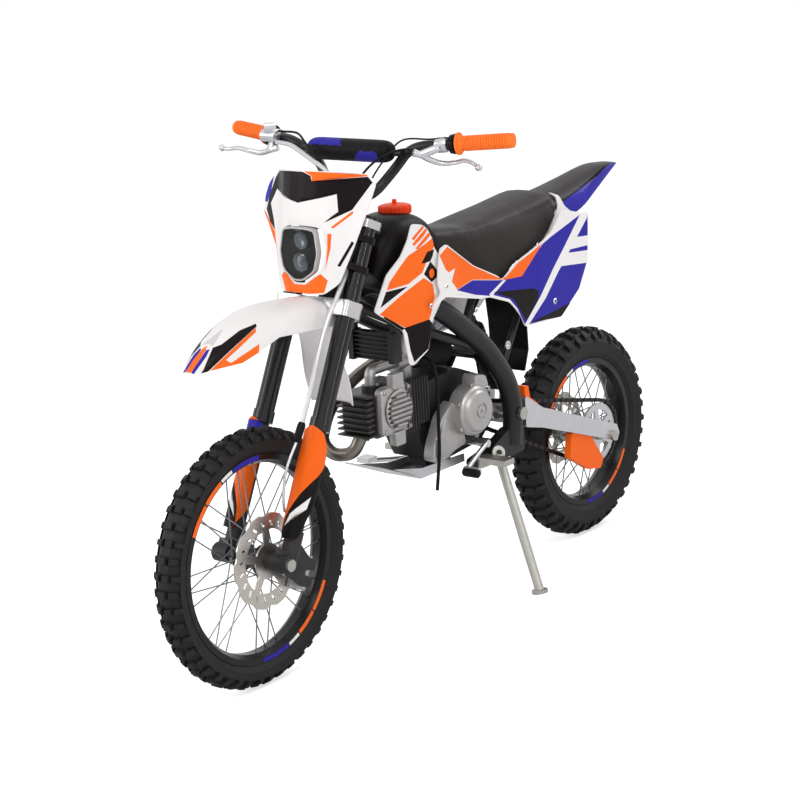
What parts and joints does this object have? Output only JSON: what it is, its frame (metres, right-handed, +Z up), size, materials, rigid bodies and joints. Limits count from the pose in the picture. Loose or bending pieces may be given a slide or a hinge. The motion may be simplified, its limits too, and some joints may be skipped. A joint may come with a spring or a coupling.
{
  "type": "pit bike",
  "caption": "Small off-road motorcycle with spoked wheels and knobbly tyres, telescopic fork, finned horizontal engine, flat saddle and plastic bodywork, leaning on its side stand.",
  "frame": {"origin": "on the ground below the centre of the bounding box, free hose left out", "axes": "+X forward, +Y to the side that the machine leans to, the rider's left, +Z up; the machine leans 8 degrees towards +Y on its side stand"},
  "size_m": [1.7729, 0.7794, 1.1816],
  "materials": {
    "frame_paint": "satin",
    "engine_black": "satin",
    "engine_silver": "satin",
    "alloy": "satin",
    "black_alloy": "gloss",
    "steel": "satin",
    "exhaust_steel": "satin",
    "chain_steel": "satin",
    "white_plastic": "gloss",
    "orange_plastic": "gloss",
    "blue_plastic": "gloss",
    "black_plastic": "matt",
    "seat_vinyl": "matt",
    "pad_foam": "matt",
    "rubber": "matt",
    "grip_rubber": "matt",
    "tyre": "matt",
    "lamp_plastic": "gloss"
  },
  "bodies": {
    "frame": {"main_frame": "frame_paint", "swingarm": "alloy", "swingarm_pivot": "steel", "shock_absorber": "frame_paint", "crankcase": "engine_black", "engine_covers": "engine_silver", "cylinder_and_head": "engine_silver", "carburettor": "engine_silver", "air_filter": "black_plastic", "exhaust_header": "exhaust_steel", "silencer": "exhaust_steel", "oil_cooler": "black_alloy", "skid_plate": "alloy", "footpegs": "steel", "foot_controls": "steel", "drive_chain": "chain_steel", "chain_guides": "orange_plastic", "rear_axle": "steel", "rear_caliper": "black_alloy", "fuel_tank": "black_plastic", "fuel_cap": "orange_plastic", "seat": "seat_vinyl", "shrouds": "orange_plastic", "side_panels": "blue_plastic", "rear_fender": "black_plastic", "mud_flap": "black_plastic", "drain_hose": "rubber"},
    "steering": {"fork_tubes": "black_alloy", "fork_lowers": "black_alloy", "fork_guards": "orange_plastic", "triple_clamps": "alloy", "front_axle": "steel", "front_caliper": "black_alloy", "brake_hose": "rubber", "front_fender": "white_plastic", "front_plate": "white_plastic", "plate_straps": "rubber", "headlight": "lamp_plastic", "handlebar": "frame_paint", "bar_pad": "pad_foam", "grips": "grip_rubber", "bar_controls": "alloy"},
    "side_stand": {"side_stand": "frame_paint"},
    "front_wheel": {"front_tyre": "tyre", "front_rim": "black_alloy", "front_spokes": "steel", "front_hub": "black_alloy", "front_disc": "steel"},
    "rear_wheel": {"rear_tyre": "tyre", "rear_rim": "black_alloy", "rear_spokes": "steel", "rear_hub": "black_alloy", "rear_disc": "steel", "rear_sprocket": "steel"}
  },
  "joints": [
    {"name": "steering_head", "type": "hinge", "parent": "frame", "child": "steering", "pos_m": [0.28497, -0.04196, 0.8094], "axis": [-0.4431, 0.1248, 0.8878], "range_deg": [-38, 38]},
    {"name": "front_wheel_spin", "type": "hinge", "parent": "steering", "child": "front_wheel", "pos_m": [0.6045, -0.11623, 0.28093], "axis": [0, 0.9903, -0.1392], "continuous": true},
    {"name": "rear_wheel_spin", "type": "hinge", "parent": "frame", "child": "rear_wheel", "pos_m": [-0.6225, -0.11868, 0.26352], "axis": [0, 0.9903, -0.1392], "continuous": true},
    {"name": "side_stand_fold", "type": "hinge", "parent": "frame", "child": "side_stand", "pos_m": [-0.129, 0.00321, 0.32606], "axis": [0.4052, 0.8747, 0.2661], "range_deg": [0, 112]}
  ]
}
